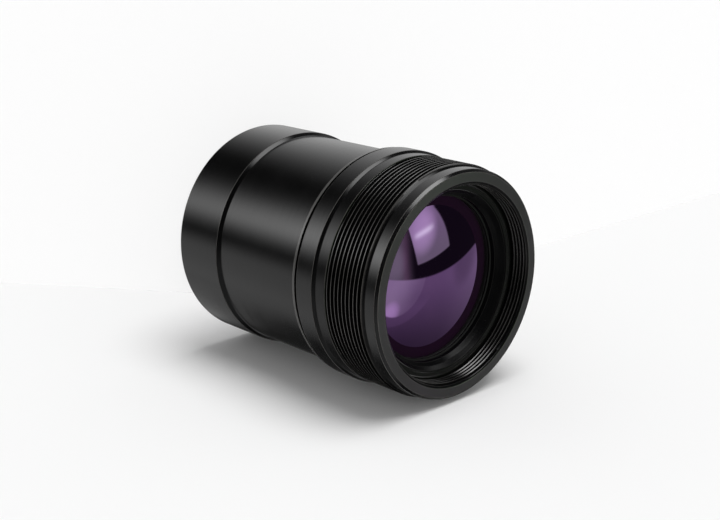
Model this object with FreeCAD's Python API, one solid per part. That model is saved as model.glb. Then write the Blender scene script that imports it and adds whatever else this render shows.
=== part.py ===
"""Fixed-focus thermal imaging lens, standing on its rear face.

Millimetres. Z is the optical axis and points out of the front glass. Z = 0 is the rear face.
Every piece is turned about Z, so most of them are a half section (radius, height) spun once round.
The outer fine thread is drawn as separate rings. The inner one is a plain wall at its core.
"""

import FreeCAD, Part
import math
import os

# Outside of the barrel, its steps counted outwards from the smooth barrel
BARREL_R = 16.5
COLLAR_STEP = 0.5
COLLAR_HEIGHT = 9.4
LIP_STEP = 0.8
LIP_WIDTH = 0.45
JOINT_Z = 28.2
EDGE = 0.3

# Outside of the front cell, upwards from the joint
CLAMP_STEP = 0.95
CLAMP_HEIGHT = 3.15
SHOULDER_STEP = 0.55
SHOULDER_HEIGHT = 1.85
THREAD_STEP = 0.5
THREAD_LENGTH = 6.75
THREAD_TURNS = 9
THREAD_CREST = 0.22
THREAD_ROOT = 0.12
THREAD_RELIEF = 0.4
THREAD_RELIEF_DEPTH = 0.7
RELIEF_SLOPE = 0.1
PILOT_DROP = 0.42
PILOT_HEIGHT = 1.7
RIM_BEVEL = 0.4

# Bore of the front cell, downwards from the front face
CELL_WALL = 3.8
MOUTH_BEVEL = 0.47
MOUTH_THREAD_STEP = 1.6
MOUTH_THREAD_DEPTH = 2.85
BORE_RELIEF = 0.35
BORE_RELIEF_STEP = 0.3
RING_SEAT_STEP = 1.4
LEDGE_DEPTH = 5.45

# Front glass and what holds it
FRONT_GLASS_EDGE = 3.0
FRONT_LAND = 2.25
FRONT_DOME = 0.95
FRONT_HOLLOW = 0.5
FRONT_SEAT_LAND = 1.4
SEAL_HEIGHT = 0.85
SEAL_ROUND = 0.4
SLIP_HEIGHT = 0.3
FRONT_SLIP_LAND = 0.75
FRONT_RING_HEIGHT = 2.05
FRONT_RING_LIP = 0.5
RING_EDGE = 0.2
RING_LAND = 0.45
RING_CONE_DEPTH = 0.8

# Front cell's spigot inside the barrel
BARREL_WALL = 1.45
SPIGOT_WALL = 2.6
SPIGOT_WEB = 1.6
CELL_SEAL_HEIGHT = 1.1
CELL_SEAL_DEPTH = 1.0
CELL_SEAL_DROP = 1.0
BAFFLE_LENGTH = 6.0
BAFFLE_TAPER = 1.7
SHEET = 0.4

# Rear glass and what holds it, upwards from the rear face
REAR_WALL = 6.5
REAR_THREAD_STEP = 1.3
REAR_LEDGE_Z = 3.7
REAR_GLASS_EDGE = 2.9
REAR_LAND = 1.4
REAR_DOME = 0.9
REAR_HOLLOW = 0.5
REAR_SEAT_LAND = 1.2
REAR_WEB = 1.5
REAR_SLIP_LAND = 1.05
REAR_RING_HEIGHT = 2.0
REAR_SEAL_HEIGHT = 0.8
SLOT_WIDTH = 1.6
SLOT_DEPTH = 0.9

# Sliding cell with the two middle glasses
BORE_STEP = 1.5
SLIDE_WALL = 2.4
SLIDE_LEDGE = 1.4
SLIDE_FLOOR = 1.0
SLIDE_RIM = 0.2
EXPANSION_HEIGHT = 3.5
EXPANSION_OVERLAP = 0.4
CORRECTOR_EDGE = 2.0
SPACER_HEIGHT = 1.6
SPACER_WALL = 1.1
STOP_SHEET = 0.2
STOP_LAND = 2.6
MIDDLE_EDGE = 2.2
MIDDLE_LAND = 1.6
MIDDLE_RING_HEIGHT = 1.3
GLIDE_DEPTH = 0.5
GLIDE_HEIGHT = 1.2
GLIDE_INSET = 1.6
WASHER_HEIGHT = 0.3
SPRING_HEIGHT = 1.2
SPRING_WIDTH = 1.7
SPRING_SHEET = 0.25
SPRING_FLAT = 0.4
PIN_R = 0.6
PIN_INSET = 1.5
PIN_ROOT = 3.0
PIN_REACH = 1.6

# Fits
FIT = 0.05
SLIDE_FIT = 0.1
SPIGOT_CLEARANCE = 0.4

# Radii of the outside, all from the smooth barrel
COLLAR_R = BARREL_R + COLLAR_STEP
LIP_R = BARREL_R + LIP_STEP
CLAMP_R = BARREL_R + CLAMP_STEP
SHOULDER_R = BARREL_R + SHOULDER_STEP
THREAD_R = BARREL_R + THREAD_STEP
THREAD_RELIEF_R = THREAD_R - THREAD_RELIEF_DEPTH
PILOT_R = THREAD_R - PILOT_DROP

# Radii in the front cell, all from its glass
FRONT_GLASS_R = BARREL_R - CELL_WALL
MOUTH_THREAD_R = FRONT_GLASS_R + MOUTH_THREAD_STEP
MOUTH_R = MOUTH_THREAD_R + MOUTH_BEVEL
BORE_RELIEF_R = MOUTH_THREAD_R + BORE_RELIEF_STEP
RING_SEAT_R = FRONT_GLASS_R + RING_SEAT_STEP
FRONT_CLEAR_R = FRONT_GLASS_R - FRONT_LAND
FRONT_SEAT_R = FRONT_GLASS_R - FRONT_SEAT_LAND
FRONT_SLIP_R = FRONT_GLASS_R - FRONT_SLIP_LAND
FRONT_RING_R = FRONT_GLASS_R - FRONT_RING_LIP
BAFFLE_R = FRONT_SEAT_R - BAFFLE_TAPER

# Radii in the barrel
SPIGOT_R = BARREL_R - BARREL_WALL - FIT
SPIGOT_BORE_R = SPIGOT_R - SPIGOT_WALL
BARREL_BORE_R = SPIGOT_R - BORE_STEP
SLIDE_R = BARREL_BORE_R - SLIDE_FIT
SLIDE_BORE_R = SLIDE_R - SLIDE_WALL
SLIDE_FLOOR_R = SLIDE_BORE_R - SLIDE_LEDGE
EXPANSION_BORE_R = SLIDE_BORE_R - EXPANSION_OVERLAP
SPACER_BORE_R = SLIDE_BORE_R - SPACER_WALL
STOP_R = SLIDE_BORE_R - STOP_LAND
MIDDLE_CLEAR_R = SLIDE_BORE_R - MIDDLE_LAND
PIN_PITCH_R = SLIDE_R - PIN_INSET
REAR_GLASS_R = BARREL_R - REAR_WALL
REAR_THREAD_R = REAR_GLASS_R + REAR_THREAD_STEP
REAR_CLEAR_R = REAR_GLASS_R - REAR_LAND
REAR_SEAT_R = REAR_GLASS_R - REAR_SEAT_LAND
REAR_SLIP_R = REAR_GLASS_R - REAR_SLIP_LAND

# Heights in the barrel, from the rear face up
REAR_GLASS_Z = REAR_LEDGE_Z + REAR_SEAL_HEIGHT
REAR_SHOULDER_Z = REAR_GLASS_Z + REAR_GLASS_EDGE
REAR_SLIP_Z = REAR_LEDGE_Z - SLIP_HEIGHT
REAR_RING_Z = REAR_SLIP_Z - REAR_RING_HEIGHT
FLOOR_Z = REAR_SHOULDER_Z + REAR_WEB
SLIDE_Z = FLOOR_Z + EXPANSION_HEIGHT
CORRECTOR_Z = SLIDE_Z + SLIDE_FLOOR
SPACER_Z = CORRECTOR_Z + CORRECTOR_EDGE
STOP_Z = SPACER_Z + SPACER_HEIGHT
MIDDLE_Z = STOP_Z + STOP_SHEET
MIDDLE_RING_Z = MIDDLE_Z + MIDDLE_EDGE
SLIDE_TOP_Z = MIDDLE_RING_Z + MIDDLE_RING_HEIGHT + SLIDE_RIM
SPRING_Z = SLIDE_TOP_Z + WASHER_HEIGHT
SPIGOT_Z = SPRING_Z + SPRING_HEIGHT
SPIGOT_LEDGE_Z = SPIGOT_Z - SPIGOT_CLEARANCE

# Heights in the front cell, from the joint up and from the front face down
SHOULDER_Z = JOINT_Z + EDGE + CLAMP_HEIGHT + (CLAMP_R - SHOULDER_R)
RELIEF_Z = SHOULDER_Z + SHOULDER_HEIGHT
THREAD_Z = RELIEF_Z + THREAD_RELIEF
PILOT_Z = THREAD_Z + THREAD_LENGTH
FACE_Z = PILOT_Z + PILOT_DROP + PILOT_HEIGHT + RIM_BEVEL
LEDGE_Z = FACE_Z - LEDGE_DEPTH
FRONT_GLASS_TOP = LEDGE_Z - SEAL_HEIGHT
FRONT_SEAT_Z = FRONT_GLASS_TOP - FRONT_GLASS_EDGE
FRONT_WEB_Z = FRONT_SEAT_Z - SPIGOT_WEB
FRONT_RING_Z = LEDGE_Z + SLIP_HEIGHT
FRONT_RING_TOP = FRONT_RING_Z + FRONT_RING_HEIGHT


def vec(point):
    radius, height = point
    return FreeCAD.Vector(radius, 0, height)


def spin(edges):
    """One closed half section, spun once round Z."""
    face = Part.Face(Part.Wire(edges))
    return face.revolve(FreeCAD.Vector(0, 0, 0), FreeCAD.Vector(0, 0, 1), 360)


def turned(points):
    """A turned piece from the corners of its half section."""
    closed = points + points[:1]
    return spin([Part.makeLine(vec(a), vec(b)) for a, b in zip(closed, closed[1:])])


def tube(inner, outer, low, high):
    return turned([(inner, low), (outer, low), (outer, high), (inner, high)])


def seal(inner, outer, low, high):
    """A squeezed O-ring: flat where it bears, with rounded corners."""
    ring = tube(inner, outer, low, high)
    rims = [edge for edge in ring.Edges if edge.Closed and edge.BoundBox.ZLength < FIT]
    return ring.makeFillet(SEAL_ROUND * min(outer - inner, high - low), rims)


def glass_face(clear_r, height, rise):
    """The polished part of a glass, as an arc from the axis to its clear radius."""
    radius = (clear_r ** 2 + rise ** 2) / (2 * abs(rise))
    middle_r = clear_r / 2
    sag = radius - math.sqrt(radius ** 2 - middle_r ** 2)
    middle_z = height + rise - math.copysign(sag, rise)
    return Part.Arc(vec((0, height + rise)), vec((middle_r, middle_z)), vec((clear_r, height))).toShape()


def glass(outer, low, high, low_face, high_face):
    """A lens with a ground flat round each polished face.

    low_face and high_face are (clear radius, rise along +Z).
    """
    bevel = EDGE / 2
    low_r, low_rise = low_face
    high_r, high_rise = high_face
    rim = [(low_r, low), (outer - bevel, low), (outer, low + bevel), (outer, high - bevel),
           (outer - bevel, high), (high_r, high)]
    edges = [glass_face(low_r, low, low_rise)]
    edges += [Part.makeLine(vec(a), vec(b)) for a, b in zip(rim, rim[1:])]
    edges.append(glass_face(high_r, high, high_rise))
    edges.append(Part.makeLine(vec((0, high + high_rise)), vec((0, low + low_rise))))
    return spin(edges)


def pin_hole(radius, low, high):
    return Part.makeCylinder(radius, high - low, FreeCAD.Vector(0, PIN_PITCH_R, low))


def main_barrel():
    """Rear collar, smooth barrel and thin lip, with a stepped bore."""
    outside = [
        (COLLAR_R - EDGE, 0), (COLLAR_R, EDGE), (COLLAR_R, COLLAR_HEIGHT),
        (BARREL_R, COLLAR_HEIGHT + COLLAR_STEP),
        (BARREL_R, JOINT_Z - EDGE - LIP_WIDTH), (LIP_R, JOINT_Z - EDGE - LIP_WIDTH),
        (LIP_R, JOINT_Z - EDGE), (LIP_R - LIP_STEP / 2, JOINT_Z),
    ]
    bore = [
        (SPIGOT_R + FIT + EDGE, JOINT_Z), (SPIGOT_R + FIT, JOINT_Z - EDGE),
        (SPIGOT_R + FIT, SPIGOT_LEDGE_Z), (BARREL_BORE_R, SPIGOT_LEDGE_Z), (BARREL_BORE_R, FLOOR_Z),
        (REAR_SEAT_R + EDGE, FLOOR_Z), (REAR_SEAT_R, FLOOR_Z - EDGE), (REAR_SEAT_R, REAR_SHOULDER_Z),
        (REAR_GLASS_R + FIT, REAR_SHOULDER_Z), (REAR_GLASS_R + FIT, REAR_LEDGE_Z),
        (REAR_THREAD_R, REAR_LEDGE_Z), (REAR_THREAD_R, EDGE), (REAR_THREAD_R + EDGE, 0),
    ]
    return turned(outside + bore).cut(pin_hole(PIN_R, FLOOR_Z - PIN_ROOT, FLOOR_Z))


def ridges(crest_r, root_r, low, high, turns):
    """Corners of a fine thread, drawn as rings from the crest round low to the crest that ends at high."""
    pitch = (high - low) / turns
    half_crest, half_root = pitch * THREAD_CREST / 2, pitch * THREAD_ROOT / 2
    corners = [(crest_r, low - half_crest), (crest_r, low + half_crest)]
    for turn in range(turns):
        root, crest = low + (turn + 0.5) * pitch, low + (turn + 1) * pitch
        corners += [(root_r, root - half_root), (root_r, root + half_root),
                    (crest_r, crest - half_crest), (crest_r, crest + half_crest)]
    return corners[:-1] + [(crest_r, high)]


def front_cell():
    """Clamp ring, shoulder, outer thread and rim, with the spigot and the seats for the front glass."""
    outside = [
        (SPIGOT_R, JOINT_Z), (CLAMP_R - EDGE - FIT, JOINT_Z), (CLAMP_R, JOINT_Z + EDGE),
        (CLAMP_R, JOINT_Z + EDGE + CLAMP_HEIGHT), (SHOULDER_R, SHOULDER_Z), (SHOULDER_R, RELIEF_Z),
        (THREAD_RELIEF_R, RELIEF_Z + RELIEF_SLOPE), (THREAD_RELIEF_R, THREAD_Z - RELIEF_SLOPE),
    ]
    outside += ridges(THREAD_R, PILOT_R, THREAD_Z, PILOT_Z, THREAD_TURNS)
    outside += [
        (PILOT_R, PILOT_Z + PILOT_DROP), (PILOT_R, FACE_Z - RIM_BEVEL), (PILOT_R - RIM_BEVEL, FACE_Z),
    ]
    relief_z = FACE_Z - MOUTH_THREAD_DEPTH
    bore = [
        (MOUTH_R, FACE_Z), (MOUTH_THREAD_R, FACE_Z - MOUTH_BEVEL), (MOUTH_THREAD_R, relief_z),
        (BORE_RELIEF_R, relief_z), (BORE_RELIEF_R, relief_z - BORE_RELIEF),
        (RING_SEAT_R, relief_z - BORE_RELIEF), (RING_SEAT_R, LEDGE_Z),
        (FRONT_GLASS_R + FIT, LEDGE_Z), (FRONT_GLASS_R + FIT, FRONT_SEAT_Z),
        (FRONT_SEAT_R, FRONT_SEAT_Z), (FRONT_SEAT_R, FRONT_WEB_Z), (SPIGOT_BORE_R, FRONT_WEB_Z),
    ]
    groove_top = JOINT_Z - CELL_SEAL_DROP
    groove_low = groove_top - CELL_SEAL_HEIGHT
    groove_r = SPIGOT_R - CELL_SEAL_DEPTH
    spigot = [
        (SPIGOT_BORE_R, SPIGOT_Z), (SPIGOT_R - EDGE, SPIGOT_Z), (SPIGOT_R, SPIGOT_Z + EDGE),
        (SPIGOT_R, groove_low), (groove_r, groove_low), (groove_r, groove_top), (SPIGOT_R, groove_top),
    ]
    return turned(outside + bore + spigot)


def cell_seal():
    top = JOINT_Z - CELL_SEAL_DROP
    return seal(SPIGOT_R - CELL_SEAL_DEPTH, SPIGOT_R + FIT, top - CELL_SEAL_HEIGHT, top)


def front_glass():
    """Domed outside, slightly hollow inside."""
    return glass(FRONT_GLASS_R, FRONT_SEAT_Z, FRONT_GLASS_TOP,
                 (FRONT_CLEAR_R, FRONT_HOLLOW), (FRONT_CLEAR_R, FRONT_DOME))


def front_seal():
    return seal(FRONT_SLIP_R + FIT, FRONT_GLASS_R + FIT, FRONT_GLASS_TOP, LEDGE_Z)


def front_slip_ring():
    return tube(FRONT_SLIP_R, RING_SEAT_R - 2 * FIT, LEDGE_Z, FRONT_RING_Z)


def front_retaining_ring():
    """Threaded ring with a cone and a bevel that lead in to the glass."""
    outer = RING_SEAT_R - FIT
    top = FRONT_RING_TOP
    groove_r = outer - RING_EDGE - RING_LAND
    cone_r = groove_r - RING_EDGE
    cone_z = top - RING_CONE_DEPTH
    return turned([
        (FRONT_RING_R, FRONT_RING_Z), (outer, FRONT_RING_Z), (outer, top - RING_EDGE),
        (outer - RING_EDGE, top), (groove_r, top), (groove_r, top - RING_EDGE),
        (cone_r, top - RING_EDGE), (cone_r - FIT, top),
        (FRONT_RING_R + FRONT_RING_LIP, cone_z), (FRONT_RING_R, cone_z - FRONT_RING_LIP),
    ])


def light_baffle():
    """Thin blackened cone behind the front glass, its flange up against the web."""
    low = FRONT_WEB_Z - BAFFLE_LENGTH
    neck = FRONT_SEAT_R
    return turned([
        (neck - SHEET, FRONT_WEB_Z), (SPIGOT_BORE_R, FRONT_WEB_Z), (SPIGOT_BORE_R, FRONT_WEB_Z - SHEET),
        (neck, FRONT_WEB_Z - SHEET), (BAFFLE_R + SHEET, low), (BAFFLE_R, low),
    ])


def disc_spring():
    """Coned ring that presses the sliding cell down on the expansion ring."""
    high_r = BARREL_BORE_R - 2 * SLIDE_FIT
    low_r = high_r - SPRING_WIDTH
    top = SPIGOT_Z
    return turned([
        (low_r, SPRING_Z), (low_r + SPRING_FLAT, SPRING_Z), (high_r, top - SPRING_SHEET), (high_r, top),
        (high_r - SPRING_FLAT, top), (low_r, SPRING_Z + SPRING_SHEET),
    ])


def thrust_washer():
    return tube(SLIDE_BORE_R + EDGE, SLIDE_R - SLIDE_FIT, SLIDE_TOP_Z, SPRING_Z)


def glide_heights():
    """Where the two glide rings sit on the sliding cell."""
    lower = SLIDE_Z + GLIDE_INSET
    upper = SLIDE_TOP_Z - GLIDE_INSET - GLIDE_HEIGHT
    return {"lower_glide_ring": lower, "upper_glide_ring": upper}


def sliding_cell():
    """Sleeve for the two middle glasses, grooved for its glide rings and bored for the guide pin."""
    body = turned([
        (SLIDE_FLOOR_R, SLIDE_Z), (SLIDE_R, SLIDE_Z), (SLIDE_R, SLIDE_TOP_Z),
        (SLIDE_BORE_R, SLIDE_TOP_Z), (SLIDE_BORE_R, CORRECTOR_Z), (SLIDE_FLOOR_R, CORRECTOR_Z),
    ])
    for low in glide_heights().values():
        body = body.cut(tube(SLIDE_R - GLIDE_DEPTH, SLIDE_R + SLIDE_FIT, low, low + GLIDE_HEIGHT))
    return body.cut(pin_hole(PIN_R + FIT, SLIDE_Z, SLIDE_Z + PIN_REACH + FIT))


def glide_ring(low):
    return tube(SLIDE_R - GLIDE_DEPTH, BARREL_BORE_R, low, low + GLIDE_HEIGHT)


def corrector_glass():
    face_r = SLIDE_FLOOR_R - SLIDE_RIM
    rise = SLIDE_FLOOR / 2
    return glass(SLIDE_BORE_R - FIT, CORRECTOR_Z, SPACER_Z, (face_r, -rise), (face_r, rise))


def stop_spacer():
    return tube(SPACER_BORE_R, SLIDE_BORE_R - FIT, SPACER_Z, STOP_Z)


def aperture_stop():
    return tube(STOP_R, SLIDE_BORE_R - FIT, STOP_Z, MIDDLE_Z)


def middle_glass():
    return glass(SLIDE_BORE_R - FIT, MIDDLE_Z, MIDDLE_RING_Z,
                 (MIDDLE_CLEAR_R, MIDDLE_EDGE / 5), (MIDDLE_CLEAR_R, MIDDLE_EDGE / 3))


def middle_retaining_ring():
    return tube(MIDDLE_CLEAR_R + SLIDE_RIM, SLIDE_BORE_R - FIT,
                MIDDLE_RING_Z, MIDDLE_RING_Z + MIDDLE_RING_HEIGHT)


def expansion_ring():
    """Plastic ring that lifts the sliding cell as it warms, which holds the focus."""
    ring = tube(EXPANSION_BORE_R, BARREL_BORE_R - SLIDE_FIT, FLOOR_Z, SLIDE_Z)
    return ring.cut(pin_hole(PIN_R + FIT, FLOOR_Z, SLIDE_Z))


def guide_pin():
    """Dowel that keeps the sliding cell from turning."""
    return pin_hole(PIN_R, FLOOR_Z - PIN_ROOT, SLIDE_Z + PIN_REACH)


def rear_glass():
    """Hollow at the rear, domed towards the middle of the lens."""
    return glass(REAR_GLASS_R, REAR_GLASS_Z, REAR_SHOULDER_Z,
                 (REAR_CLEAR_R, REAR_HOLLOW), (REAR_CLEAR_R, REAR_DOME))


def rear_seal():
    return seal(REAR_SLIP_R + FIT, REAR_GLASS_R + FIT, REAR_LEDGE_Z, REAR_GLASS_Z)


def rear_slip_ring():
    return tube(REAR_SLIP_R, REAR_THREAD_R - 2 * FIT, REAR_SLIP_Z, REAR_LEDGE_Z)


def rear_retaining_ring():
    """Threaded ring with a coned mouth and two slots for a spanner."""
    outer = REAR_THREAD_R - FIT
    bevel = 2 * EDGE / 3
    flare = REAR_RING_HEIGHT / 2
    ring = turned([
        (REAR_SLIP_R, REAR_SLIP_Z), (outer, REAR_SLIP_Z), (outer, REAR_RING_Z + bevel),
        (outer - bevel, REAR_RING_Z), (REAR_SLIP_R + flare, REAR_RING_Z), (REAR_SLIP_R, REAR_RING_Z + flare),
    ])
    corner = FreeCAD.Vector(-outer - FIT, -SLOT_WIDTH / 2, REAR_RING_Z - FIT)
    return ring.cut(Part.makeBox(2 * (outer + FIT), SLOT_WIDTH, SLOT_DEPTH + FIT, corner))


def pieces():
    """Every piece by the name of its node."""
    made = {
        "main_barrel": main_barrel(),
        "front_cell": front_cell(),
        "cell_seal": cell_seal(),
        "front_glass": front_glass(),
        "front_seal": front_seal(),
        "front_slip_ring": front_slip_ring(),
        "front_retaining_ring": front_retaining_ring(),
        "light_baffle": light_baffle(),
        "disc_spring": disc_spring(),
        "thrust_washer": thrust_washer(),
        "sliding_cell": sliding_cell(),
        "corrector_glass": corrector_glass(),
        "stop_spacer": stop_spacer(),
        "aperture_stop": aperture_stop(),
        "middle_glass": middle_glass(),
        "middle_retaining_ring": middle_retaining_ring(),
        "expansion_ring": expansion_ring(),
        "guide_pin": guide_pin(),
        "rear_glass": rear_glass(),
        "rear_seal": rear_seal(),
        "rear_slip_ring": rear_slip_ring(),
        "rear_retaining_ring": rear_retaining_ring(),
    }
    for name, low in glide_heights().items():
        made[name] = glide_ring(low)
    return made


os.makedirs("parts", exist_ok=True)
for name, solid in pieces().items():
    solid.exportStep(f"parts/{name}.step")
    box = solid.BoundBox
    print(f"{name:24s} {solid.Volume:9.1f} mm3  valid {solid.isValid()}  z {box.ZMin:.2f} to {box.ZMax:.2f}")
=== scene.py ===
"""Dresses the thermal imaging lens for the studio: turned black housing, coned retaining ring,
violet-coated glass, camera, floor, table and light. Everything is in metres, in the frame of the CAD
model: +Z is the optical axis. Outlines are lists of (radius, height) in millimetres."""
import math

import bmesh
import bpy
import numpy as np
from mathutils import Matrix, Vector


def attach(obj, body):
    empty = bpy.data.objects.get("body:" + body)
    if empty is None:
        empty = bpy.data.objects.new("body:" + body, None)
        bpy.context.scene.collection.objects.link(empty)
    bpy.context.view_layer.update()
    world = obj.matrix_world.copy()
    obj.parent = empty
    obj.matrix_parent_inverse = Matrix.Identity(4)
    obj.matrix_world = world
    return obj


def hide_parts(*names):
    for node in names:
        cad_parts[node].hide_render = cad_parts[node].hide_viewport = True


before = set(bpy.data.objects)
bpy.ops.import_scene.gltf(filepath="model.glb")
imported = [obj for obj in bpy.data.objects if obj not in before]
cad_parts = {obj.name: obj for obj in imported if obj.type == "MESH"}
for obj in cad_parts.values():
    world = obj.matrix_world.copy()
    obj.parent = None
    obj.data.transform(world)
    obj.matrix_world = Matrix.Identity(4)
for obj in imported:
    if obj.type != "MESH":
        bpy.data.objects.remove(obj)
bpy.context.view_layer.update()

MM = 0.001
COLUMNS = 240  # grid columns round the axis
MERGE, SLIVER = 4e-7, 2e-7  # metres: points nearer than MERGE become one, and shorter edges go
CORNER_STEPS = (0.0, 0.25, 0.5, 0.75, 1.0)  # places along the curve that breaks a corner
CORNER_ROWS = len(CORNER_STEPS) + 2

# Directions of the set, in the lens's frame. The lens lies on its side in the photograph, so the table's
# upward direction, UP, lies across the optical axis, and SIDE runs along the table towards the camera.
AXIS = Vector((0.0, 0.0, 1.0))
UP = Vector((math.sqrt(0.5), -math.sqrt(0.5), 0.0))
SIDE = Vector((math.sqrt(0.5), math.sqrt(0.5), 0.0))


# Turned surfaces


def soften(corners, break_width, closed):
    """Breaks the corners of an (r, z) outline in mm. A corner P with unit arms u and v becomes the curve
    (1-t)^2 (P + d u) + 2 t (1-t) P + t^2 (P + d v), with a flat support point at P + 1.7 d u and one at
    P + 1.7 d v. d is break_width or a quarter of the shorter arm. Returns the points and how near each
    lies to its corner."""
    corners = np.asarray(corners, float)
    count = len(corners)
    points, nearness = [], []
    for k in range(count):
        here = corners[k]
        if not closed and k in (0, count - 1):
            points.append(here)
            nearness.append(0.0)
            continue
        before, after = corners[k - 1], corners[(k + 1) % count]
        arm_in, arm_out = before - here, after - here
        length_in, length_out = np.hypot(*arm_in), np.hypot(*arm_out)
        d = min(break_width, 0.25 * min(length_in, length_out))
        arm_in, arm_out = arm_in / length_in * d, arm_out / length_out * d
        points.append(here + 1.7 * arm_in)
        nearness.append(0.0)
        for t in CORNER_STEPS:
            curve = (1 - t) ** 2 * (here + arm_in) + 2 * t * (1 - t) * here + t * t * (here + arm_out)
            points.append(curve)
            nearness.append(1.0 - 2.0 * abs(t - 0.5))
        points.append(here + 1.7 * arm_out)
        nearness.append(0.0)
    return np.array(points), np.array(nearness)


def bulges(corners, closed):
    """+1 at a corner that stands out of the metal, -1 at an inside corner, for an outline that runs up the
    outside."""
    corners = np.asarray(corners, float)
    arm_in = corners - np.roll(corners, 1, 0)
    arm_out = np.roll(corners, -1, 0) - corners
    turn = np.sign(arm_in[:, 0] * arm_out[:, 1] - arm_in[:, 1] * arm_out[:, 0])
    if not closed:
        turn[[0, -1]] = 0
    return turn


def angles():
    return np.linspace(0.0, 2 * math.pi, COLUMNS, endpoint=False)


class Surface:
    """Collects grids of points into one closed mesh."""

    def __init__(self):
        self.points, self.faces, self.edge, self.start = [], [], [], 0

    def add(self, r, z, edge, shift=0, flip=False):
        """One grid of rows x COLUMNS points (r cos a, r sin a, z), joined to itself round the axis; shift is
        how many rows the far side of the seam lies higher, for a helix. edge is the pale edge mark of each
        point, partly wear and partly painted highlight."""
        rows = r.shape[0]
        a = angles()[None, :]
        self.points.append(np.stack([r * np.cos(a), r * np.sin(a), z], -1).reshape(-1, 3) * MM)
        self.edge.append(np.broadcast_to(edge, r.shape).reshape(-1))
        index = np.arange(rows * COLUMNS).reshape(rows, COLUMNS) + self.start
        over = index[np.minimum(np.arange(rows) + shift, rows - 1), 0][:, None]
        wide = np.concatenate([index, over], 1)
        quads = np.stack([wide[:-1, :-1], wide[:-1, 1:], wide[1:, 1:], wide[1:, :-1]], -1).reshape(-1, 4)
        self.faces.append(quads[:, ::-1] if flip else quads)
        self.start += rows * COLUMNS

    def turn(self, corners, break_width=0.07, closed=False):
        """A turned surface: the softened outline (r(k), z(k)) swept round the axis."""
        outline, near = soften(corners, break_width, closed)
        stands = bulges(corners, closed)
        weight = []
        for k in range(len(corners)):
            is_end = not closed and k in (0, len(corners) - 1)
            weight += [stands[k]] * (1 if is_end else CORNER_ROWS)
        near = near * np.array(weight)
        if closed:
            outline, near = np.vstack([outline, outline[:1]]), np.append(near, near[0])
        ones = np.ones(COLUMNS)
        self.add(outline[:, :1] * ones, outline[:, 1:] * ones, near[:, None])

    def helix(self, low, high, pitch, crest, depth, profile, limit, inward, run_out):
        """A screw thread: row (turn n, part t) lies at z = low - pitch + (n + t + a / 2 pi) pitch, kept
        between low and high, at r = crest -+ depth * groove(t), and never past the plain outline limit(z).
        profile is (t, groove); the groove grows shallow between the heights run_out, and the pale edge mark,
        partly wear and partly painted highlight, fades at both ends."""
        part, groove = np.array(profile)
        turns = int(math.ceil((high - low) / pitch)) + 2
        t = (np.arange(turns)[:, None] + part[None, :]).reshape(-1)
        share = angles()[None, :] / (2 * math.pi)
        kept = np.clip(low - pitch + (t[:, None] + share) * pitch, low, high)
        phase = ((kept - low) / pitch - share) % 1.0
        cut = np.interp(phase, np.append(part, 1.0), np.append(groove, groove[0]))
        cut = cut * np.interp(kept, run_out, [1.0, 0.0])
        bound = limit(kept)
        r = np.maximum(bound, crest + depth * cut) if inward else np.minimum(bound, crest - depth * cut)
        wear_and_highlight = np.interp(kept, [low, low + 0.1, run_out[1], high], [0.0, 1.0, 1.0, 0.0])
        self.add(r, kept, (0.6 - cut) * 0.9 * wear_and_highlight, shift=len(part), flip=inward)
        return r

    def piece(self, name, materials, pick=None, sharp=38.0):
        """The finished mesh object. pick(r, z, up) chooses each face's material from its centre, in mm, and
        its normal's share along the axis; an edge bent by more than sharp degrees is drawn sharp."""
        mesh = bpy.data.meshes.new(name)
        points = np.concatenate(self.points)
        faces = np.concatenate(self.faces)
        mesh.from_pydata(points, [], faces.tolist())
        attribute = mesh.attributes.new("edge", "FLOAT", "POINT")
        attribute.data.foreach_set("value", np.concatenate(self.edge).astype(np.float32))
        work = bmesh.new()
        work.from_mesh(mesh)
        bmesh.ops.remove_doubles(work, verts=work.verts, dist=MERGE)
        bmesh.ops.dissolve_degenerate(work, edges=work.edges, dist=SLIVER)
        work.to_mesh(mesh)
        work.free()
        for material in materials:
            mesh.materials.append(material)
        if pick is not None:
            middle = np.zeros(len(mesh.polygons) * 3)
            normal = np.zeros(len(mesh.polygons) * 3)
            mesh.polygons.foreach_get("center", middle)
            mesh.polygons.foreach_get("normal", normal)
            middle, normal = middle.reshape(-1, 3) / MM, normal.reshape(-1, 3)
            chosen = pick(np.hypot(middle[:, 0], middle[:, 1]), middle[:, 2], normal[:, 2])
            mesh.polygons.foreach_set("material_index", chosen.astype(np.int32))
        mesh.polygons.foreach_set("use_smooth", np.ones(len(mesh.polygons), bool))
        mesh.set_sharp_from_angle(angle=math.radians(sharp))
        thing = bpy.data.objects.new(name, mesh)
        bpy.context.scene.collection.objects.link(thing)
        return thing


# Node wiring


class Wire:
    """One output of a node, with plain arithmetic."""

    def __init__(self, net, socket):
        self.net, self.socket = net, socket

    def __add__(self, other):
        return self.net.math("ADD", self, other)

    def __radd__(self, other):
        return self.net.math("ADD", other, self)

    def __sub__(self, other):
        return self.net.math("SUBTRACT", self, other)

    def __rsub__(self, other):
        return self.net.math("SUBTRACT", other, self)

    def __mul__(self, other):
        return self.net.math("MULTIPLY", self, other)

    __rmul__ = __mul__

    def __truediv__(self, other):
        return self.net.math("DIVIDE", self, other)


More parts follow.
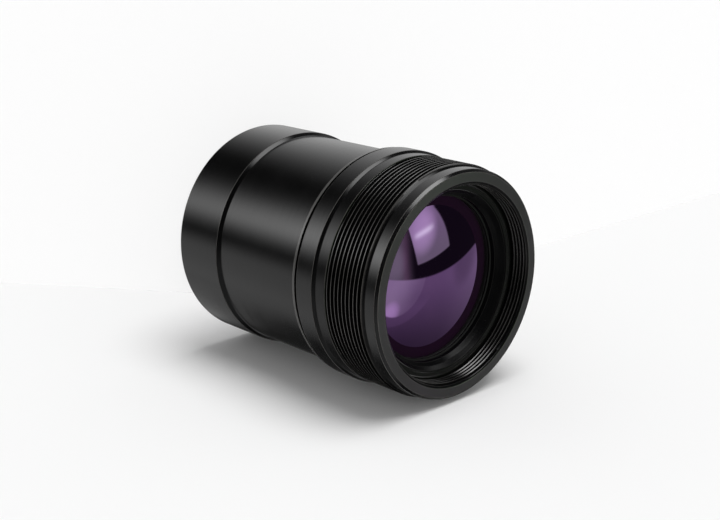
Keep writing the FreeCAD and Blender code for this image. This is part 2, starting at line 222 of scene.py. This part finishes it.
class Net:
    """A node tree that is wired by calls."""

    def __init__(self, tree):
        self.tree = tree
        tree.nodes.clear()

    def node(self, kind, inputs=None, **settings):
        made = self.tree.nodes.new(kind)
        for key, value in settings.items():
            setattr(made, key, value)
        for key, value in (inputs or {}).items():
            self.put(made.inputs[key], value)
        return made

    def put(self, socket, value):
        if isinstance(value, Wire):
            self.tree.links.new(value.socket, socket)
        elif isinstance(value, bpy.types.NodeSocket):
            self.tree.links.new(value, socket)
        elif value is not None:
            socket.default_value = value

    def math(self, operation, a, b=None):
        made = self.node("ShaderNodeMath", operation=operation)
        self.put(made.inputs[0], a)
        self.put(made.inputs[1], b)
        return Wire(self, made.outputs[0])

    def vector(self, operation, a, b=None):
        made = self.node("ShaderNodeVectorMath", operation=operation)
        self.put(made.inputs[0], a)
        self.put(made.inputs[1], b)
        return Wire(self, made.outputs["Value" if operation in ("DOT_PRODUCT", "LENGTH") else "Vector"])

    def smooth(self, value, start, end, low=0.0, high=1.0):
        """low before start, high past end, with a soft change between; start may lie above end."""
        if start > end:
            start, end, low, high = end, start, high, low
        made = self.node("ShaderNodeMapRange", interpolation_type="SMOOTHSTEP")
        self.put(made.inputs["Value"], value)
        for key, given in (("From Min", start), ("From Max", end), ("To Min", low), ("To Max", high)):
            self.put(made.inputs[key], given)
        return Wire(self, made.outputs["Result"])

    def parts(self, vector):
        made = self.node("ShaderNodeSeparateXYZ")
        self.put(made.inputs[0], vector)
        return [Wire(self, made.outputs[k]) for k in range(3)]

    def join(self, x, y, z):
        made = self.node("ShaderNodeCombineXYZ")
        for socket, value in zip(made.inputs, (x, y, z)):
            self.put(socket, value)
        return Wire(self, made.outputs[0])

    def blend(self, amount, a, b):
        """Colour a where amount is 0 and colour b where it is 1."""
        made = self.node("ShaderNodeMix", data_type="RGBA")
        self.put(made.inputs["Factor"], amount)
        self.put(made.inputs[6], a)
        self.put(made.inputs[7], b)
        return Wire(self, made.outputs[2])

    def noise(self, vector, scale, detail, rough):
        inputs = {"Vector": vector, "Scale": scale, "Detail": detail, "Roughness": rough}
        made = self.node("ShaderNodeTexNoise", inputs)
        return Wire(self, made.outputs[0])


def turned_net(name):
    """A material's net with the values that turned finishes read: the place, the angle round the axis as a
    unit vector, radius and height in mm, and the tangent that lies across the tool marks."""
    material = bpy.data.materials.new(name)
    material.use_nodes = True
    net = Net(material.node_tree)
    place = Wire(net, net.node("ShaderNodeTexCoord").outputs["Object"])
    x, y, z = net.parts(place)
    radius = net.vector("LENGTH", net.join(x, y, 0.0)) * (1 / MM)
    height = z * (1 / MM)
    round_axis = net.join(0.0 - y, x, 0.0)
    normal = Wire(net, net.node("ShaderNodeNewGeometry").outputs["Normal"])
    across = net.vector("NORMALIZE", net.vector("CROSS_PRODUCT", normal, round_axis))
    unit = net.vector("NORMALIZE", net.join(x, y, 0.0))
    return material, net, place, unit, radius, height, across


REAR_EDGE_BROWN = (0.22, 0.185, 0.145, 1)  # the rear edge's pale mark, partly wear and partly painted highlight
# the painted highlight on the barrel's lip band
HIGHLIGHT_GREY = (0.20, 0.195, 0.19, 1)
DUST = (0.12, 0.118, 0.11, 1)


def shade(base, factor):
    return (*[c * factor for c in base], 1)


def anodised(
    name, base=(0.0015, 0.0015, 0.0016), rough=0.16, grain=1.0, level=0.5, anisotropic=0.45,
    edge_tint=(0.10, 0.095, 0.09), edge_amount=0.8, highlight_band=None,
):
    """Black anodised, turned aluminium: tool marks as fine rings, soft blotches in gloss, and pale broken
    edges and thread crests that are partly wear and partly painted highlight. Its last argument is (low,
    high)
    in mm: between these heights a pale grey is painted on as a highlight. The rear edge's pale mark is brown."""
    material, net, place, unit, radius, height, across = turned_net(name)
    ux, uy, _ = net.parts(unit)
    along = height + radius * 1.37
    marks = net.noise(net.join(ux * 1.3, uy * 1.3, along * 9.0), 1.0, 4.0, 0.6)
    lines = net.noise(net.join(ux * 2.2, uy * 2.2, along * 3.2), 1.0, 2.0, 0.6)
    clouds = net.noise(place, 160.0, 4.0, 0.6)
    specks = net.noise(place, 2600.0, 2.0, 0.5)
    edge = Wire(net, net.node("ShaderNodeAttribute", attribute_name="edge").outputs["Fac"])
    # The pale edge mark is partly wear and partly a painted highlight on broken edges and thread crests.
    wear_and_highlight = net.smooth(edge * (clouds * 0.9 + 0.55), 0.25, 0.9, 0.0, edge_amount)
    dust = net.smooth(specks, 0.70, 0.80, 0.0, 0.35)
    colour = net.blend(net.smooth(clouds, 0.35, 0.75), shade(base, 0.8), shade(base, 1.3))
    # Below 0.4 mm, on the rear edge, the pale edge mark is painted brown as a highlight.
    tint = net.blend(net.smooth(height, 0.5, 0.4), (*edge_tint, 1), REAR_EDGE_BROWN)
    # Painted highlight: a pale grey band painted between the given heights.
    if highlight_band:
        low, high = highlight_band
        painted_highlight = net.smooth(height, low - 0.02, low) * net.smooth(height, high + 0.02, high)
        tint = net.blend(painted_highlight, tint, HIGHLIGHT_GREY)
        wear_and_highlight = net.math("MAXIMUM", wear_and_highlight, painted_highlight * 0.35)
    colour = net.blend(wear_and_highlight, colour, tint)
    colour = net.blend(dust * 0.25, colour, DUST)
    roughness = (marks - 0.5) * 0.16 * grain + (clouds - 0.5) * 0.10 + rough
    bump = net.node("ShaderNodeBump", {"Strength": 0.5 * grain, "Distance": 1.6e-5, "Height": lines})
    inputs = {"Base Color": colour, "Roughness": roughness, "Normal": bump.outputs[0], "Tangent": across}
    shader = net.node("ShaderNodeBsdfPrincipled", inputs)
    shader.inputs["IOR"].default_value = 1.5
    shader.inputs["Anisotropic"].default_value = anisotropic
    shader.inputs["Specular IOR Level"].default_value = level
    net.node("ShaderNodeOutputMaterial", {"Surface": shader.outputs[0]})
    return material


def coated_glass(name):
    """Infrared glass with a violet coating: a tinted mirror over a dark body, with faint haze and dust."""
    material, net, place, *_ = turned_net(name)
    haze = net.noise(place, 220.0, 4.0, 0.6)
    dust = net.noise(place, 3200.0, 2.0, 0.5)
    speck = net.smooth(dust, 0.72, 0.80, 0.0, 0.06)
    tint = net.blend(net.smooth(haze, 0.3, 0.8), (0.144, 0.069, 0.198, 1), (0.156, 0.076, 0.210, 1))
    colour = net.blend(speck, tint, (0.3, 0.26, 0.3, 1))
    roughness = (haze - 0.5) * 0.02 + 0.025
    shader = net.node("ShaderNodeBsdfPrincipled", {"Base Color": colour, "Roughness": roughness})
    shader.inputs["Metallic"].default_value = 1.0
    net.node("ShaderNodeOutputMaterial", {"Surface": shader.outputs[0]})
    return material


def plain(name, base, rough, metal=0.0, level=0.5):
    """An inner part's finish, with soft clouds in its gloss."""
    material, net, place, *_ = turned_net(name)
    clouds = net.noise(place, 300.0, 3.0, 0.6)
    colour = net.blend(clouds, shade(base, 0.85), shade(base, 1.15))
    inputs = {"Base Color": colour, "Roughness": (clouds - 0.5) * 0.15 + rough}
    shader = net.node("ShaderNodeBsdfPrincipled", inputs)
    shader.inputs["Metallic"].default_value = metal
    shader.inputs["Specular IOR Level"].default_value = level
    net.node("ShaderNodeOutputMaterial", {"Surface": shader.outputs[0]})
    return material


# The barrel's lip band, 27.4 to 27.9 mm up, has a painted highlight.
barrel_finish = anodised("black_anodised_barrel", highlight_band=(27.4, 27.9))
cell_finish = anodised("black_anodised_cell", rough=0.17, level=0.52)
shoulder_finish = anodised("black_anodised_shoulder", rough=0.19, level=0.34)
rim_finish = anodised("black_anodised_rim", rough=0.17, level=0.9)
face_finish = anodised(
    "black_anodised_face", base=(0.0112, 0.0080, 0.0118), rough=0.33, grain=0.6, edge_amount=0.3
)
bore_finish = anodised(
    "blackened_bore", base=(0.0015, 0.0015, 0.0015), rough=0.30, level=0.10, edge_amount=0.25
)
ring_finish = anodised(
    "black_anodised_ring", base=(0.0028, 0.0028, 0.0030), rough=0.22, level=0.12, edge_amount=0.15
)
glass_finish = coated_glass("violet_coated_glass")
ground_finish = plain("ground_glass_rim", (0.0080, 0.0005, 0.0085), 0.5, level=0.05)
# Painted shade: a near-black, barely reflecting finish for thread grooves, the relief and the joint groove.
painted_groove_shade = plain("thread_groove_shade", (0.0004, 0.0004, 0.0004), 0.6, level=0.03)
finishes = {  # by the name of the CAD model's material
    "barrel_anodised": barrel_finish,
    "cell_anodised": cell_finish,
    "ring_anodised": ring_finish,
    "inner_anodised": anodised("blackened_inside", base=(0.006, 0.006, 0.006), rough=0.5, level=0.3),
    "coated_glass": glass_finish,
    "inner_glass": plain("inner_glass_dark", (0.03, 0.022, 0.02), 0.08, 0.6),
    "seal_rubber": plain("black_seal_rubber", (0.009, 0.009, 0.009), 0.6, level=0.35),
    "expansion_plastic": plain("white_expansion_plastic", (0.62, 0.61, 0.57), 0.5),
    "glide_plastic": plain("brown_glide_plastic", (0.30, 0.20, 0.11), 0.45),
    "spring_steel": plain("spring_steel_bright", (0.50, 0.49, 0.47), 0.3, 1.0),
}
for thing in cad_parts.values():
    for place in thing.material_slots:
        place.material = finishes.get(place.material.name, place.material)


# The lens's visible pieces


def dress(piece, node):
    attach(piece, "root")
    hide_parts(node)
    return piece


barrel_outline = [
    (11.3, 0.3), (11.6, 0.0), (16.7, 0.0), (17.0, 0.3), (17.0, 9.4), (16.5, 9.9), (16.5, 27.45),
    (17.3, 27.45), (17.3, 27.9), (16.9, 28.2), (15.35, 28.2), (15.05, 27.9), (15.05, 22.0), (13.5, 22.0),
    (13.5, 8.9), (9.1, 8.9), (8.8, 8.6), (8.8, 7.4), (10.05, 7.4), (10.05, 3.7), (11.3, 3.7),
]
shell = Surface()
shell.turn(barrel_outline, closed=True)


def barrel_pick(r, z, up):
    """1 in the groove that the joint leaves above the lip, which is painted in shade, 0 elsewhere."""
    return (z > 27.885) & (r < 17.295)


barrel = shell.piece("barrel", [barrel_finish, painted_groove_shade], barrel_pick)
dress(barrel, "main_barrel")

# The front cell: from the relief behind the inner thread down the bore, round the spigot and up the
# outside to the outer thread, then from that thread's end over the front face to the mouth.
cell_low = [
    (14.6, 40.72), (14.6, 40.37), (14.1, 40.37), (14.1, 38.12), (12.75, 38.12), (12.75, 34.27), (11.3, 34.27),
    (11.3, 32.67), (12.4, 32.67), (12.4, 22.4), (14.7, 22.4), (15.0, 22.7), (15.0, 26.1), (14.0, 26.1),
    (14.0, 27.2), (15.0, 27.2), (15.0, 28.2), (17.1, 28.2), (17.45, 28.5), (17.45, 31.65), (17.05, 32.05),
    (17.05, 33.9), (16.3, 34.0), (16.3, 34.2),
]
cell_high = [(16.58, 41.47), (16.58, 43.17), (16.18, 43.57), (14.86, 43.57), (14.72, 43.52)]


def outer_limit(z):
    """Plain outline outside: the thread's run-in cone, its crest and its run-out cone."""
    return np.interp(z, [34.2, 34.24, 41.05, 41.47], [16.3, 17.0, 17.0, 16.58])


def mouth_limit(z):
    """Plain outline inside: the core of the filter thread and the mouth cone."""
    return np.interp(z, [40.72, 43.10, 43.52], [14.3, 14.3, 14.72])


# A profile is one turn of a thread: the share of the pitch, and how deep the groove is there. The inner
# crest is broken on the side that faces the front.
outer_thread = {
    "low": 34.2, "high": 41.47, "pitch": 0.75, "crest": 17.0, "depth": 0.42, "inward": False,
    "profile": (
        [0.00, 0.03, 0.14, 0.17, 0.48, 0.52, 0.65, 0.69],
        [0.05, 0.00, 0.00, 0.05, 0.94, 1.00, 1.00, 0.94],
    ),
    "limit": outer_limit, "run_out": (40.75, 41.05),
}
inner_thread = {
    "low": 40.72, "high": 43.52, "pitch": 0.6, "crest": 14.3, "depth": 0.30, "inward": True,
    "profile": (
        [0.00, 0.03, 0.09, 0.29, 0.54, 0.58, 0.67, 0.71],
        [0.05, 0.00, 0.00, 0.34, 0.94, 1.00, 1.00, 0.94],
    ),
    "limit": mouth_limit, "run_out": (43.2, 43.3),
}

shell = Surface()
shell.turn(cell_low)
shell.helix(**outer_thread)
shell.turn(cell_high)
inner_r = shell.helix(**inner_thread)
floor_r = np.stack([inner_r[0], np.full(COLUMNS, cell_low[0][0])])  # the relief's flat top, below the thread
shell.add(floor_r, np.full((2, COLUMNS), cell_low[0][1]), 0.0)


def cell_pick(r, z, up):
    """Which finish a face of the front cell has: 0 outside, 1 in the bore, 2 down in a groove, which is
    painted in shade, 3 on the rim and on the crests of the threads, 4 on the flat front, 5 on the shoulder,
    the mouth and where the outer thread ends."""
    inside = (r < 14.72) & (z < 43.5) & (z > 30.0)
    in_thread = inside & (z > 40.75)
    cone = in_thread & (z > 43.1) & (np.abs(r - 14.3 - (z - 43.1)) < 0.03)
    outer_groove = (r > 16.2) & (r < 16.9) & (z > 33.93) & (z < 41.05)
    joint_groove = (r < 17.4) & (r > 15.5) & (z > 28.15) & (z < 28.46)
    inner_groove = in_thread & (r > 14.39) & ~cone
    relief = (z > 40.36) & (z < 40.75) & (r > 14.3) & (r < 14.7)
    groove = outer_groove | joint_groove | inner_groove | relief
    front = (up > 0.98) & (z > 43.5)
    rim = ((z > 43.12) & (r > 16.1)) | in_thread | ((r > 16.9) & (z > 34.1) & (z < 41.05))
    shoulder = cone | ((r > 16.2) & (((z > 32.06) & (z < 33.93)) | ((z > 41.05) & (z < 41.46))))
    return np.select([groove, front, shoulder, rim, inside], [2, 4, 5, 3, 1], 0)


cell_finishes = [cell_finish, bore_finish, painted_groove_shade, rim_finish, face_finish, shoulder_finish]
cell = dress(shell.piece("threaded_front_cell", cell_finishes, cell_pick), "front_cell")

CLEAR_R = 10.45  # the polished glass inside its ground rim
GLASS_BACK, GLASS_FRONT = 34.27, 37.27


def cap(rim, rise, at, count):
    """Points (r, z) of a spherical cap from its rim to its pole, z = at + sqrt(R^2 - r^2) - (R - rise)."""
    ball = (rim * rim + rise * rise) / (2 * rise)
    r = np.linspace(rim, 0.0, count)
    return list(zip(r, at + np.sqrt(ball * ball - r * r) - (ball - rise)))


hollow = cap(CLEAR_R, 0.5, GLASS_BACK, 14)[::-1]
dome = cap(CLEAR_R, 0.95, GLASS_FRONT, 30)
glass_rim = [(12.55, GLASS_BACK), (12.7, 34.42), (12.7, 37.12), (12.55, GLASS_FRONT)]
glass_points = np.array(hollow + glass_rim + dome)
ones = np.ones(COLUMNS)
shell = Surface()
shell.add(glass_points[:, :1] * ones, glass_points[:, 1:] * ones, 0.0)


def glass_pick(r, z, up):
    """1 on the ground rim round the polished dome."""
    return (r > CLEAR_R) | ((z < 37.2) & (r > 10.4))


glass = shell.piece("domed_front_glass", [glass_finish, ground_finish], glass_pick, sharp=4.0)
dress(glass, "front_glass")

ring_outline = [
    (12.2, 38.42), (14.05, 38.42), (14.05, 40.27), (13.85, 40.47), (13.40, 40.47), (13.40, 40.27),
    (13.20, 40.27), (13.15, 40.47), (12.7, 39.67), (12.2, 39.17),
]
shell = Surface()
shell.turn(ring_outline, 0.06, closed=True)


def ring_pick(r, z, up):
    """1 on the flat top and in its groove, which lie in shade, 0 on the cone and the sides."""
    return (up > 0.9) & (z > 40.2)


ring = shell.piece("coned_retaining_ring", [ring_finish, bore_finish], ring_pick)
dress(ring, "front_retaining_ring")

shell = Surface()
shell.turn([(11.95, 38.12), (14.0, 38.12), (14.0, 38.42), (11.95, 38.42)], 0.04, closed=True)
slip = dress(shell.piece("front_slip_band", [ring_finish]), "front_slip_ring")

# The recessed glass reflects the studio and not the bore round it.
for thing in (cell, ring, slip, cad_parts["front_seal"]):
    thing.visible_glossy = False


# The set: floor, table, light and camera


def pale(name, glow, share):
    """Pale matt paper; for the camera a share of it is even light of strength glow, so that it stays near
    white round the object's shadow. Its back is clear."""
    material = bpy.data.materials.new(name)
    material.use_nodes = True
    net = Net(material.node_tree)
    path = net.node("ShaderNodeLightPath")
    paper = net.node("ShaderNodeBsdfDiffuse", {"Color": (0.88, 0.88, 0.88, 1)})
    light = net.node("ShaderNodeEmission", {"Color": (1, 1, 1, 1), "Strength": glow})
    both = net.node("ShaderNodeMixShader", {0: Wire(net, path.outputs["Is Camera Ray"]) * share})
    net.put(both.inputs[1], paper.outputs[0])
    net.put(both.inputs[2], light.outputs[0])
    clear = net.node("ShaderNodeBsdfTransparent")
    side = net.node("ShaderNodeMixShader", {0: net.node("ShaderNodeNewGeometry").outputs["Backfacing"]})
    net.put(side.inputs[1], both.outputs[0])
    net.put(side.inputs[2], clear.outputs[0])
    net.node("ShaderNodeOutputMaterial", {"Surface": side.outputs[0]})
    return material


def sheet(name, corners, material):
    """A flat sheet of paper through these corners, which run anticlockwise as its face is looked at."""
    mesh = bpy.data.meshes.new(name)
    mesh.from_pydata([tuple(c) for c in corners], [], [tuple(range(len(corners)))])
    mesh.materials.append(material)
    thing = bpy.data.objects.new(name, mesh)
    bpy.context.scene.collection.objects.link(thing)
    thing.visible_glossy = False
    thing.visible_shadow = False
    return thing


LENS_REACH = 17.45 * MM
STAGE_REACH = 3.0
FLOOR_END = -LENS_REACH - 0.0004  # just past the table, so that no line shows between them
FLOOR_PLAN = [  # (along UP, along SIDE) in metres; the notch lets the lens's shadow run on over the table
    (FLOOR_END, -STAGE_REACH), (STAGE_REACH, -STAGE_REACH), (STAGE_REACH, STAGE_REACH), (0.8, STAGE_REACH),
    (-0.008, 0.015), (-0.010, 0.0), (FLOOR_END, 0.0),
]
TABLE_CORNERS = [(-1, -1), (1, -1), (1, 1), (-1, 1)]
floor = sheet("floor", [UP * u + SIDE * s for u, s in FLOOR_PLAN], pale("floor_paper", 0.99, 0.82))
floor.visible_diffuse = False
sheet(
    "table",
    [UP * -LENS_REACH + SIDE * (i * STAGE_REACH) + AXIS * (j * STAGE_REACH) for i, j in TABLE_CORNERS],
    pale("table_paper", 0.95, 0.03),
)


def lamp(name, towards, level, spread):
    """A far soft box: level is the brightness that it gives white paper that faces it, spread its width in
    degrees."""
    data = bpy.data.lights.new(name, "SUN")
    data.energy, data.angle = level * math.pi, math.radians(spread)
    thing = bpy.data.objects.new(name, data)
    bpy.context.scene.collection.objects.link(thing)
    thing.rotation_mode = "QUATERNION"
    thing.rotation_quaternion = towards.to_track_quat("Z", "Y")
    thing.visible_glossy = False


lamp("key_overhead", UP + AXIS * 0.20 - SIDE * 0.10, 0.65, 42.0)
lamp("front_fill", AXIS, 0.35, 50.0)


def studio_world():
    """What the lamps and cards of the studio look like in a reflection, as a function of direction: a = share
    along the axis, u along UP, s along SIDE, turn = angle round the axis from UP towards SIDE. Directions
    behind the lens (a below -0.6) light its housing, those in front (a above 0.28) its glass and bevels. All
    other rays see one plain level."""
    world = bpy.data.worlds.new("studio")
    bpy.context.scene.world = world
    world.use_nodes = True
    net = Net(world.node_tree)
    way = Wire(net, net.node("ShaderNodeTexCoord").outputs["Generated"])
    a = net.vector("DOT_PRODUCT", way, tuple(AXIS))
    u = net.vector("DOT_PRODUCT", way, tuple(UP))
    s = net.vector("DOT_PRODUCT", way, tuple(SIDE))
    turn = net.math("ARCTAN2", s, u) * (180 / math.pi)

    def bump(value, centre, spread_low, spread_high):
        """exp(-((value - centre) / spread)^2), with a spread for each side."""
        off = value - centre
        side = net.math("GREATER_THAN", off, 0.0)
        scaled = off / (side * (spread_high - spread_low) + spread_low)
        return net.math("EXPONENT", scaled * scaled * -1.0)

    # Behind: the bright strip along the barrel, a low card, a card at the back and one for the rear collar.
    strip = bump(turn, 62.0, 20.0, 15.0) * 2.15
    strip = strip * net.smooth(a, -0.82, -0.66, 0.62, 1.55)
    low_card = net.smooth(turn, 88.0, 110.0) * net.smooth(turn, 178.0, 136.0) * 0.60
    back_card = net.smooth(turn, -140.0, -60.0) * net.smooth(turn - (a + 0.76) * 200.0, 8.0, -62.0) * 0.85
    rear_card = net.smooth(net.math("ABSOLUTE", turn), 125.0, 158.0) * net.smooth(a, -0.742, -0.775) * 0.5
    behind = strip + net.math("MAXIMUM", low_card, rear_card) + back_card + 0.025

    # Beside: strips that show in level views, brightest close to the horizon.
    side_strips = bump(turn, 62.0, 18.0, 14.0) * 1.5 + bump(turn, -38.0, 20.0, 20.0) * 0.9
    far_strip = bump(net.math("ABSOLUTE", turn), 165.0, 16.0, 16.0) * net.smooth(a, -0.12, -0.30, 0.0, 0.8)
    side_strips = side_strips + far_strip + 0.05
    side_strips = side_strips * net.smooth(a, 0.10, -0.14, 0.10, 1.0)
    side_strips = side_strips * (net.smooth(a, -0.16, -0.10) * net.smooth(a, 0.05, 0.0) * 1.6 + 1.0)

    # In front: a streak on the bevels, and on the glass a window with a line of light in it, the lit ground
    # below a dark gap, a round grey patch and a card at the left.
    aim = net.join(a, u, s)
    table_edge = (-0.5263, -0.7015, 0.4805)
    glint_at = (0.7463, -0.0882, -0.6598)

    def near(direction, start, end):
        """0 to 1 as the cosine to a direction passes from start to end: the soft edge of a round card."""
        return net.smooth(net.vector("DOT_PRODUCT", aim, direction), start, end)

    streak = near((0.51, 0.84, -0.19), 0.915, 0.985) * net.smooth(a, 0.66, 0.56) * 4.2
    window = near((0.8274, -0.2815, -0.486), 0.920, 0.925) * near((0.6163, 0.654, -0.4388), 0.583, 0.589)
    window = window * near((-0.1912, 0.287, -0.9386), 0.362, 0.370)
    off_line = net.vector("DOT_PRODUCT", aim, (0.1655, 0.9849, 0.0512)) * (1 / 0.014)
    glint = net.math("EXPONENT", off_line * off_line * -1.0) * near(glint_at, 0.996, 0.9998) * 2.2
    glow = near(glint_at, 0.993, 1.0) * 0.7 + near((0.7818, -0.0501, -0.6214), 0.985, 1.0) * 0.75
    glint = window * glint
    bright = window * (net.smooth(u, -0.20, -0.02, 0.25, 1.0) + glow)
    dim = window * net.smooth(u, -0.02, -0.20, 0.0, 0.70)
    camera_side = net.smooth(s, -0.10, -0.30)
    below = near(table_edge, -0.482, -0.474) * camera_side
    disc = near((0.8076, -0.2783, -0.5199), 0.9842, 0.9856)
    rim_disc = near((0.8299, -0.1883, -0.5252), 0.950, 0.953) * net.smooth(u, -0.36, -0.42)
    ground = net.smooth(u, -0.60, -0.26, 0.10, 0.60) + net.smooth(s, -0.72, -0.90) * 0.08
    ground = ground - near((0.455, -0.25, -0.855), 0.992, 1.0) * 0.22
    lit = below * (ground + rim_disc * 0.10 + disc * near((0.778, -0.424, -0.463), 0.9972, 1.0) * 0.9)
    grey = below * disc * net.smooth(a, 0.70, 0.82, 0.20, 0.95)
    left = near((-0.3084, 0.0469, 0.9501), -0.820, -0.745)
    left = left * net.smooth(u, 0.10, 0.0) * net.smooth(s, -0.25, -0.35) * near(table_edge, -0.474, -0.482)
    left = left * (0.66 + near((0.852, -0.202, -0.483), 0.995, 1.0) * 0.4)
    warm = left * bump(s, -0.555, 0.03, 0.025) * 0.3
    fill = net.smooth(u, 0.0, -0.5) * net.smooth(s, -0.2, 0.1) * 0.2

    seen = behind * net.smooth(a, -0.48, -0.6)
    seen = seen + side_strips * (net.smooth(a, -0.6, -0.48) * net.smooth(a, 0.28, 0.16))
    front = net.smooth(a, 0.16, 0.28)
    plain_cards = seen + (streak + lit + fill + 0.03) * front
    pale_cards = grey + dim + left
    channels = (  # shares of the window, the pale cards, the warm card and the glint: red, green, blue
        (0.91, 0.745, 1.0, 0.75),
        (1.11, 1.11, 0.0, 1.45),
        (0.86, 0.655, 0.5, 0.62),
    )
    tinted = [
        (bright * of_window + pale_cards * of_pale + warm * of_warm + glint * of_glint) * front
        for of_window, of_pale, of_warm, of_glint in channels
    ]
    path = net.node("ShaderNodeLightPath")
    glossy = Wire(net, path.outputs["Is Glossy Ray"])
    camera = Wire(net, path.outputs["Is Camera Ray"])
    clear = Wire(net, path.outputs["Is Transmission Ray"])
    plain_level = 0.44 + net.math("MAXIMUM", camera, clear) * 0.56
    rest = (1.0 - glossy) * plain_level
    parts = [glossy * (plain_cards + colour) + rest for colour in tinted]
    back = net.node("ShaderNodeBackground", {"Color": net.join(*parts), "Strength": 1.0})
    net.node("ShaderNodeOutputWorld", {"Surface": back.outputs[0]})


studio_world()

camera_data = bpy.data.cameras.new("camera")
camera_data.sensor_width = 36.0
camera_data.lens = 60.7675
camera_data.clip_start, camera_data.clip_end = 0.002, 20.0
camera = bpy.data.objects.new("camera", camera_data)
bpy.context.scene.collection.objects.link(camera)
right = Vector((-0.51576, -0.51576, 0.68409))
over = Vector((0.53882, -0.81607, -0.20903))
turned = Matrix((right, over, right.cross(over))).transposed().to_4x4()
turned.translation = Vector((0.122508, 0.048616, 0.151920))
camera.matrix_world = turned
bpy.context.scene.camera = camera
bpy.context.scene.view_settings.view_transform = "Standard"
